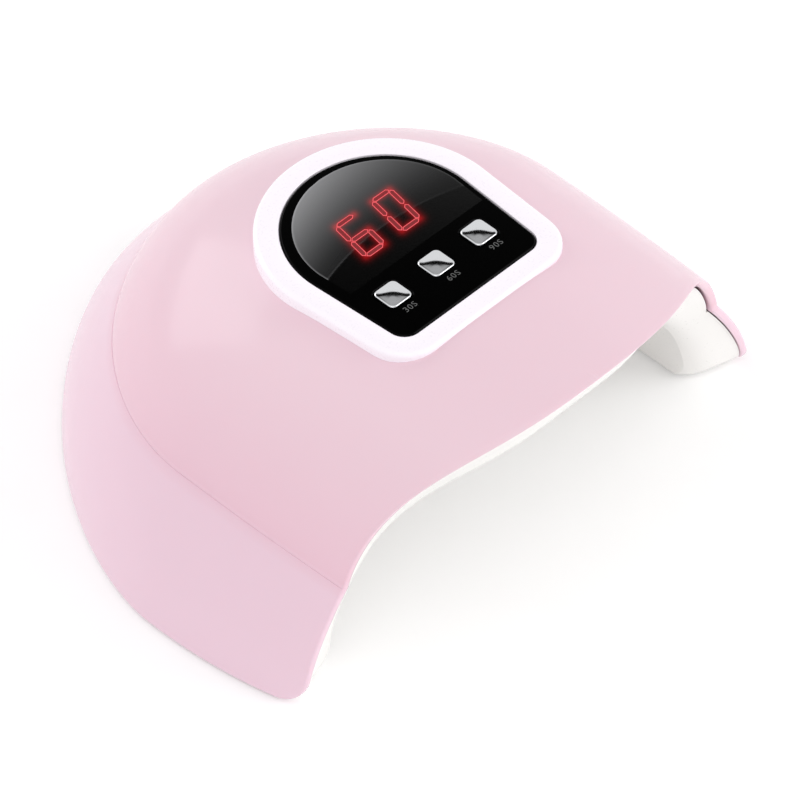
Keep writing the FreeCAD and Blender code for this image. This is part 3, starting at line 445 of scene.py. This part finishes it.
def d_loop(grow, steps=16):
    """Points round the console's D outline, grown outwards, from the right side anticlockwise."""
    radius, corner = LENS_RADIUS + grow, LENS_CORNER + grow
    front = LENS_FRONT - grow
    corner_y = front + corner
    corner_x = (radius - corner + (corner_y - LENS_CENTRE) * math.sin(LENS_TAPER)) / math.cos(LENS_TAPER)
    right = []
    for i in range(steps // 2 + 1):
        angle = -math.pi / 2 + (math.pi / 2 - LENS_TAPER) * i / (steps // 2)
        right.append((corner_x + corner * math.cos(angle), corner_y + corner * math.sin(angle)))
    tangent = (radius * math.cos(LENS_TAPER), LENS_CENTRE - radius * math.sin(LENS_TAPER))
    side = right[-1]
    for i in range(1, steps):
        right.append(tuple(side[k] + (tangent[k] - side[k]) * i / steps for k in (0, 1)))
    arc = 3 * steps
    for i in range(arc + 1):
        angle = -LENS_TAPER + (math.pi / 2 + LENS_TAPER) * i / arc
        right.append((radius * math.cos(angle), LENS_CENTRE + radius * math.sin(angle)))
    left = [(-x, y) for x, y in reversed(right[:-1])]
    flat = [(-corner_x + 2 * corner_x * i / steps, front) for i in range(1, steps)]
    return right + left + flat


APERTURE_GROW, APERTURE_REACH = 3.75, (60, 80)          # the hole's growth on the D, and its cut in z
INLET_RADIUS, INLET_HEIGHT, INLET_REACH = 4.15, 9.5, (125, 155)             # reach is the cut in y
BEZEL_GROW, BEZEL_ROUND, BEZEL_SINK = 6.6, 1.3, 0.35
BEZEL_FLAT, NECK_GROW, NECK_FOOT = 3.0, 3.6, 65.0
SEAT_GROW, SEAT_HEIGHT = -1.5, 71.25
LENS_GAP = 0.15


def circle(radius, steps):
    """Points of a circle round the origin."""
    turns = [2 * math.pi * i / steps for i in range(steps)]
    return [(radius * math.cos(turn), radius * math.sin(turn)) for turn in turns]


def aperture_tool():
    """The D-shaped column that opens the hood for the console."""
    return prism(*([at(x, y, z) for x, y in d_loop(APERTURE_GROW)] for z in APERTURE_REACH))


def inlet_tool():
    """The round bar that opens the rear wall for the inlet."""
    return prism(*([at(x, y, INLET_HEIGHT + z) for x, z in circle(INLET_RADIUS, 64)] for y in INLET_REACH))


def bezel_section():
    """Growth on the D outline and height, round the bezel's section; None stands for the hood's skin."""
    shoulder = CONSOLE_TOP - BEZEL_ROUND
    section = [(BEZEL_GROW, None), (BEZEL_GROW, shoulder)]
    for i in range(1, 9):
        turn = math.pi / 16 * i
        section.append((BEZEL_GROW - BEZEL_ROUND + BEZEL_ROUND * math.cos(turn),
                        shoulder + BEZEL_ROUND * math.sin(turn)))
    section += [(BEZEL_FLAT, CONSOLE_TOP), (LENS_GAP + 0.6, CONSOLE_TOP)]
    section += [(LENS_GAP + 0.27, CONSOLE_TOP - 0.08), (LENS_GAP + 0.05, CONSOLE_TOP - 0.3)]
    section += [(LENS_GAP, SEAT_HEIGHT), (SEAT_GROW, SEAT_HEIGHT), (SEAT_GROW, NECK_FOOT)]
    section += [(NECK_GROW, NECK_FOOT), (NECK_GROW, None)]
    return section


def bezel_mesh():
    """The bezel: a rounded rim over the hood and a neck through it, with a seat for the lens."""
    rows = []
    for grow, height in bezel_section():
        row = []
        for x, y in d_loop(grow):
            z = hood_height(x, y) - BEZEL_SINK if height is None else height
            row.append(at(x, y, min(z, CONSOLE_TOP)))
        rows.append(row)
    mesh = bmesh.new()
    add_rows(mesh, rows + rows[:1], True)
    return mesh


REFLECTION_PEAK, REFLECTION_BEND = 52.1, 0.0069       # the painted reflection's front limit is y = peak - bend * x * x
FILM_INSET, FILM_SHIFT, FILM_FRONT = -2.5, 0.9, 41.0
FILM_STEP, FILM_COLUMNS = 0.35, 96
FILM_TOP, FILM_LOW = LENS_TOP + 0.05, LENS_TOP - 0.1
DIGIT_LINE, DIGIT_PITCH = 54.0, 12.7
DIGIT_HEIGHT, DIGIT_WIDTH, DIGIT_SLANT = 14.2, 7.6, math.tan(math.radians(9))
BAR, BAR_LINE, BAR_GAP = 1.5, 0.2, 0.12
BAR_LOW, BAR_TOP, BAR_DIP = LENS_TOP + 0.05, LENS_TOP + 0.09, 0.02
SEGMENTS = {"bottom": (0, 1), "middle": (2, 3), "top": (4, 5), "low_left": (0, 2), "high_left": (2, 4),
            "low_right": (1, 3), "high_right": (3, 5)}
LIT = {-1: [n for n in SEGMENTS if n != "high_right"], 1: [n for n in SEGMENTS if n != "middle"]}


def digit_nodes():
    """The six corners that a digit's seven bars join, numbered as SEGMENTS numbers them."""
    wide, tall = (DIGIT_WIDTH - BAR) / 2, (DIGIT_HEIGHT - BAR) / 2
    return [Vector((x, y)) for y in (-tall, 0, tall) for x in (-wide, wide)]


def bar_outline(start, end, inset):
    """Corners of one bar, pointed at both ends, drawn in by inset, in the digit's upright frame."""
    along = (end - start).normalized()
    side = Vector((-along.y, along.x)) * (BAR / 2 - inset)
    gap = BAR_GAP + inset * math.sqrt(2)
    first, last = start + along * gap, end - along * gap
    reach = BAR / 2 - inset
    return [first, first + along * reach + side, last - along * reach + side, last,
            last - along * reach - side, first + along * reach - side]


def on_lens(point, digit, z):
    """A point of a digit's upright frame on the lens, slanted."""
    return at(digit * DIGIT_PITCH / 2 + point.x + DIGIT_SLANT * point.y, DIGIT_LINE + point.y, z)


def glow_at(x, y):
    """Brightness of the digits' halo at a place on the lens."""
    nearest = 99.0
    nodes = digit_nodes()
    for digit, names in LIT.items():
        local_y = y - DIGIT_LINE
        local = Vector((x - digit * DIGIT_PITCH / 2 - DIGIT_SLANT * local_y, local_y))
        for name in names:
            a, b = (nodes[k] for k in SEGMENTS[name])
            foot, share = mathutils.geometry.intersect_point_line(local.to_3d(), a.to_3d(), b.to_3d())
            closest = a.lerp(b, min(max(share, 0), 1))
            nearest = min(nearest, (local - closest).length)
    return 0.4 * math.exp(-(max(nearest - 0.4, 0) / 0.75) ** 1.2)


def painted_reflection_at(x, y):
    """Brightness of the painted reflection: strongest at the rear left rim, ending at a soft arc."""
    beyond = y - (REFLECTION_PEAK - REFLECTION_BEND * x * x)
    if beyond < 0:
        return 0.0
    edge = min(beyond / 0.25, 1)
    depth = min(beyond / 24, 1)
    side = 0.64 - 0.42 * x / LENS_RADIUS
    rim = LENS_RADIUS + FILM_INSET - math.hypot(x - FILM_SHIFT, y - LENS_CENTRE)
    # painted highlight lines along the film's rim and along the reflection's front arc
    painted_edge_highlights = 0.35 * max(1 - rim / 0.5, 0) + 0.12 * max(1 - beyond / 0.6, 0)
    return min(edge * (0.04 + 0.96 * depth ** 1.9 + painted_edge_highlights) * side, 1)


def film_mesh():
    """The window over the digits: a fine grid whose vertices carry the glow and the painted reflection."""
    radius = LENS_RADIUS + FILM_INSET
    mesh = bmesh.new()
    lines = int((LENS_CENTRE + radius - FILM_FRONT) / FILM_STEP)
    rows = []
    for j in range(lines + 1):
        y = FILM_FRONT + (LENS_CENTRE + radius - 0.01 - FILM_FRONT) * j / lines
        if y > LENS_CENTRE:
            half = math.sqrt(max(radius ** 2 - (y - LENS_CENTRE) ** 2, 0))
        else:
            half = radius - (LENS_CENTRE - y) * math.tan(LENS_TAPER)
        rows.append([at(FILM_SHIFT - half + 2 * half * i / FILM_COLUMNS, y, FILM_TOP)
                     for i in range(FILM_COLUMNS + 1)])
    made = add_rows(mesh, rows, False)
    rim = made[0] + [row[-1] for row in made[1:-1]] + made[-1][::-1] + [row[0] for row in made[-2:0:-1]]
    lower = [mesh.verts.new((v.co.x, v.co.y, FILM_LOW * MM)) for v in rim]
    for i in range(len(rim)):
        j = (i + 1) % len(rim)
        mesh.faces.new([rim[i], rim[j], lower[j], lower[i]])
    mesh.faces.new(lower)
    return mesh


def paint_film(obj):
    """Writes the glow and the painted reflection to the film's vertices."""
    for name, value_at in (("glow", glow_at), ("painted_reflection", painted_reflection_at)):
        layer = obj.data.attributes.new(name, "FLOAT", "POINT")
        for i, vert in enumerate(obj.data.vertices):
            layer.data[i].value = value_at(vert.co.x / MM, vert.co.y / MM - FOOT_LINE)


def digits_meshes():
    """The lit bars: bright thin outlines, and their dark red middles."""
    outline, middle = bmesh.new(), bmesh.new()
    nodes = digit_nodes()
    for digit, names in LIT.items():
        for name in names:
            a, b = (nodes[k] for k in SEGMENTS[name])
            outer, inner = bar_outline(a, b, 0.0), bar_outline(a, b, BAR_LINE)
            sides = ((outer, BAR_LOW), (outer, BAR_TOP), (inner, BAR_TOP), (inner, BAR_LOW))
            loops = [[on_lens(p, digit, z) for p in points] for points, z in sides]
            add_rows(outline, loops + loops[:1], True)
            top = [middle.verts.new(on_lens(p, digit, BAR_TOP - BAR_DIP)) for p in inner]
            base = [middle.verts.new(on_lens(p, digit, BAR_LOW)) for p in inner]
            middle.faces.new(top)
            middle.faces.new(base)
            for i in range(6):
                j = (i + 1) % 6
                middle.faces.new([top[i], top[j], base[j], base[i]])
    return outline, middle


# ---------------------------------------------------------------- keys

KEY_SIDE, KEY_PITCH, KEY_LINE, KEY_CORNER = 7.4, 15.2, 33.5, 1.5
KEY_SHOULDER, KEY_ROUND, KEY_ROUND_RISE, KEY_CROWN_RISE = 73.45, 0.45, 0.35, 0.5
FLANGE_HALF, FLANGE_LOW, FLANGE_TOP = 4.5, 70.2, 71.2
STEM_RADIUS, STEM_FOOT = 1.5, 67.4
LABEL_SIZE, LABEL_LINE = 2.5, 27.4


def key_loop(half, corner, steps=8):
    """A square with round corners, as plan points."""
    points = []
    for turn in range(4):
        middle = turn * math.pi / 2 + math.pi / 4
        cx = (half - corner) * math.sqrt(2) * math.cos(middle)
        cy = (half - corner) * math.sqrt(2) * math.sin(middle)
        for i in range(steps + 1):
            angle = turn * math.pi / 2 + math.pi / 2 * i / steps
            points.append((cx + corner * math.cos(angle), cy + corner * math.sin(angle)))
    return points


def key_section():
    """Half width, corner radius and height, from the flange's underside to the middle of the crown."""
    half = KEY_SIDE / 2
    section = [(FLANGE_HALF, KEY_CORNER, FLANGE_LOW), (FLANGE_HALF, KEY_CORNER, FLANGE_TOP),
               (half, KEY_CORNER, FLANGE_TOP), (half, KEY_CORNER, KEY_SHOULDER)]
    for i in range(1, 6):
        turn = math.pi / 2 * i / 5
        section.append((half - KEY_ROUND * (1 - math.cos(turn)), KEY_CORNER,
                        KEY_SHOULDER + KEY_ROUND_RISE * math.sin(turn)))
    rim = KEY_SHOULDER + KEY_ROUND_RISE
    crown = 10
    for i in range(1, crown + 1):
        share = 1 - i / crown
        size = max((half - KEY_ROUND) * share, 0.01)
        roundness = 0.42 + 0.56 * math.sqrt(1 - share)
        section.append((size, size * roundness, rim + KEY_CROWN_RISE * (1 - share ** 2)))
    return section


def key_mesh(x):
    """A crowned key cap on its flange and stem."""
    mesh = bmesh.new()
    rows = [[at(x + px, KEY_LINE + py, z) for px, py in key_loop(h, c)] for h, c, z in key_section()]
    made = add_rows(mesh, rows, True)
    mesh.faces.new(made[-1])
    stem = [[at(x + px, KEY_LINE + py, z) for px, py in circle(STEM_RADIUS, 32)]
            for z in (FLANGE_LOW, STEM_FOOT)]
    made_stem = add_rows(mesh, stem, True)
    mesh.faces.new(made_stem[-1])
    mesh.faces.new(made[0])
    return mesh


def label(text, x, material):
    """A time printed before its key, as thin raised ink."""
    curve = bpy.data.curves.new(f"label_{text}", "FONT")
    curve.body = text
    curve.size = LABEL_SIZE * MM
    curve.align_x = curve.align_y = "CENTER"
    curve.space_character = 1.15
    curve.extrude = 0.015 * MM
    made = bpy.data.objects.new(f"label_source_{text}", curve)
    bpy.context.scene.collection.objects.link(made)
    graph = bpy.context.evaluated_depsgraph_get()
    data = bpy.data.meshes.new_from_object(made.evaluated_get(graph))
    bpy.data.objects.remove(made)
    data.transform(Matrix.Translation(at(x, LABEL_LINE, LENS_TOP + 0.02)))
    data.materials.clear()
    data.materials.append(material)
    obj = bpy.data.objects.new(f"label_{text}", data)
    bpy.context.scene.collection.objects.link(obj)
    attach(obj, "housing")


# ---------------------------------------------------------------- build

PINK = pink_plastic()
LENS_BLACK = surface("lens_black", (0.0005,) * 3, 0.12, vary=0.2, grain=2600, depth=0.000004, gloss=0.05)
CHROME = surface("key_chrome", (0.78, 0.79, 0.81), 0.1, metallic=1.0, vary=0.02, grain=2200, depth=0.000002,
                 strength=0.05)
INK = surface("label_ink", (0.1, 0.1, 0.1), 0.5, vary=0.1, grain=3000, depth=0.000004)
BEZEL = white_with_painted_glow()
FILM = lens_film()

shell = piece("shell_body", shell_mesh(), "housing", PINK, ["top_shell"], angle=50)
carve(shell, aperture_tool())
carve(shell, inlet_tool())
piece("console_bezel", bezel_mesh(), "housing", BEZEL, ["display_bezel"])
film = piece("display_window", film_mesh(), "housing", FILM)
paint_film(film)
digit_lines, digit_middles = digits_meshes()
LINE_RED = light_bar("digit_line_red", (0.95, 0.12, 0.14), 1.0)
MIDDLE_RED = light_bar("digit_middle_red", (0.2, 0.002, 0.004), 0.6)
piece("digit_lines", digit_lines, "housing", LINE_RED, ["digit_segments"])
piece("digit_middles", digit_middles, "housing", MIDDLE_RED)
for index, seconds in enumerate(("30s", "60s", "90s")):
    x = (index - 1) * KEY_PITCH
    piece(f"key_{seconds}", key_mesh(x), f"button_{seconds}", CHROME, [f"button_{seconds}"])
    label(seconds.upper(), x, INK)

SLOT_LOOKS = {
    "pink_shell": PINK,
    "white_bezel": BEZEL,
    "black_lens": LENS_BLACK,
    "chrome_key": CHROME,
    "white_liner": surface("liner_white", (0.88, 0.86, 0.84), 0.34, coat=0.2, vary=0.01, grain=1500,
                           depth=0.000002, strength=0.05),
    "tape": surface("tape_black", (0.02, 0.02, 0.02), 0.8, grain=700, strength=0.4),
    "switch_plastic": surface("switch_black", (0.02, 0.02, 0.02), 0.5, grain=1200),
    "switch_metal": surface("switch_case", (0.03, 0.03, 0.032), 0.5, grain=1200),
    "circuit_board": surface("board_green", (0.01, 0.10, 0.035), 0.4, coat=0.5, vary=0.25, grain=500,
                             strength=0.3),
    "steel_screw": surface("screw_zinc", (0.55, 0.55, 0.56), 0.3, metallic=1.0, vary=0.1, grain=1600),
    "display_plastic": surface("module_grey", (0.02, 0.02, 0.022), 0.55, grain=1300),
    "chip_plastic": surface("chip_black", (0.012, 0.012, 0.013), 0.6, grain=1700, strength=0.3),
    "capacitor_can": surface("capacitor_metal", (0.4, 0.42, 0.46), 0.3, metallic=1.0, vary=0.06, grain=900),
    "inductor_case": surface("ferrite_grey", (0.03, 0.03, 0.032), 0.7, grain=900, strength=0.4),
    "red_segments": surface("segment_resin", (0.5, 0.01, 0.015), 0.3, grain=900),
    "rubber_foot": surface("foot_rubber", (0.018, 0.018, 0.018), 0.85, vary=0.15, grain=700, strength=0.5),
    "jack_plastic": surface("jack_black", (0.012, 0.012, 0.013), 0.4, grain=1100),
    "nickel_pin": surface("pin_nickel", (0.66, 0.62, 0.56), 0.2, metallic=1.0, vary=0.04, grain=1500),
    "strip_board": surface("strip_white", (0.74, 0.74, 0.72), 0.45, coat=0.3, vary=0.03, grain=800),
    "led_package": surface("led_resin", (0.85, 0.80, 0.5), 0.25, coat=0.6, vary=0.08, grain=1100),
}
NODE_SLOTS = {entry["node"]: entry["material_slot"] for entry in frame["record"]["subparts"]}
for node, obj in frame["nodes"].items():
    for holder in obj.material_slots:
        holder.material = SLOT_LOOKS[NODE_SLOTS[node]]

# ---------------------------------------------------------------- floor, light and camera


FLOOR_CELLS, FLOOR_REACH = 12, 3.0


def floor():
    """A pale square floor, lit very faintly from within so that its shadows stay soft."""
    mesh = bmesh.new()
    lines = [FLOOR_REACH * (2 * i / FLOOR_CELLS - 1) for i in range(FLOOR_CELLS + 1)]
    add_rows(mesh, [[Vector((x, y, 0)) for x in lines] for y in lines], False)
    data = bpy.data.meshes.new("floor")
    mesh.to_mesh(data)
    mesh.free()
    white = surface("floor_white", (0.97, 0.97, 0.97), 0.6, vary=0.004, grain=60, strength=0.02)
    shader = white.node_tree.nodes["Principled BSDF"]
    shader.inputs["Emission Color"].default_value = (1, 1, 1, 1)
    shader.inputs["Emission Strength"].default_value = 0.1
    data.materials.append(white)
    obj = bpy.data.objects.new("floor", data)
    bpy.context.scene.collection.objects.link(obj)


def area_light(name, place, target, size, power):
    """A square light of the given size that faces its target."""
    data = bpy.data.lights.new(name, "AREA")
    data.shape = "SQUARE"
    data.size = size
    data.energy = power
    obj = bpy.data.objects.new(name, data)
    obj.location = place
    obj.rotation_euler = (Vector(target) - Vector(place)).to_track_quat("-Z", "Y").to_euler()
    bpy.context.scene.collection.objects.link(obj)


# The dark flag, in the sine of elevation and in the sideways reach of a direction.
WORLD_LIGHT = 0.87
FLAG_RISE, FLAG_FALL, FLAG_SIDE, FLAG_ZENITH = (0.67, 0.705), (0.82, 0.86), (0.25, 0.6), 0.5


def studio_world():
    """Even white surroundings with one dark flag high behind the lamp, which the flat lens reflects."""
    world = bpy.data.worlds.new("studio")
    bpy.context.scene.world = world
    world.use_nodes = True
    nodes, links = world.node_tree.nodes, world.node_tree.links
    coordinates = nodes.new("ShaderNodeTexCoord")
    split = nodes.new("ShaderNodeSeparateXYZ")
    links.new(coordinates.outputs["Generated"], split.inputs[0])

    def math_node(operation, first, second):
        node = nodes.new("ShaderNodeMath")
        node.operation = operation
        for socket, value in zip(node.inputs, (first, second)):
            if isinstance(value, float):
                socket.default_value = value
            else:
                links.new(value, socket)
        return node.outputs[0]

    def smooth_step(value, low, high, start, end):
        node = nodes.new("ShaderNodeMapRange")
        node.interpolation_type = "SMOOTHSTEP"
        links.new(value, node.inputs["Value"])
        for name, number in (("From Min", low), ("From Max", high), ("To Min", start), ("To Max", end)):
            node.inputs[name].default_value = number
        return node.outputs["Result"]

    x, y, z = split.outputs
    rise = smooth_step(z, *FLAG_RISE, 0.0, 1.0)
    fall = smooth_step(z, *FLAG_FALL, 1.0, FLAG_ZENITH)
    sideways = smooth_step(math_node("ADD", x, y), *FLAG_SIDE, 0.0, 1.0)
    flag = math_node("MULTIPLY", math_node("MULTIPLY", rise, fall), sideways)
    seen = math_node("MULTIPLY", math_node("SUBTRACT", 1.0, flag), WORLD_LIGHT)
    ray = nodes.new("ShaderNodeLightPath").outputs["Is Camera Ray"]
    strength = math_node("MAXIMUM", seen, ray)
    links.new(strength, nodes["Background"].inputs["Strength"])
    nodes["Background"].inputs["Color"].default_value = (1, 1, 1, 1)


floor()
studio_world()
area_light("window", (-0.12, 0.85, 0.5), (0, 0, 0.05), size=0.62, power=2.2)
area_light("key", (-0.9, -0.6, 1.1), (0, 0, 0.03), size=1.0, power=2.1)
area_light("fill", (0.7, -0.9, 0.6), (0, 0, 0.03), size=0.8, power=4.6)
bpy.context.scene.view_settings.view_transform = "Standard"

AZIMUTH, ELEVATION, ROLL = (math.radians(a) for a in (-45.0, 46.5, -0.4))
AIM = Vector((0, -0.0238, 0.0281))
DISTANCE = 1.228
camera_data = bpy.data.cameras.new("camera")
camera_data.sensor_width, camera_data.lens = 36, 216.1
camera_data.shift_x, camera_data.shift_y = -0.0322, -0.0238
camera = bpy.data.objects.new("camera", camera_data)
bpy.context.scene.collection.objects.link(camera)
back_way = Vector((math.sin(AZIMUTH) * math.cos(ELEVATION), -math.cos(AZIMUTH) * math.cos(ELEVATION),
                   math.sin(ELEVATION)))
right_way = Vector((math.cos(AZIMUTH), math.sin(AZIMUTH), 0))
up_way = back_way.cross(right_way)
turned_right = right_way * math.cos(ROLL) + up_way * math.sin(ROLL)
turned_up = up_way * math.cos(ROLL) - right_way * math.sin(ROLL)
camera.matrix_world = Matrix.Translation(AIM + back_way * DISTANCE) @ Matrix(
    (turned_right, turned_up, back_way)).transposed().to_4x4()
bpy.context.scene.camera = camera
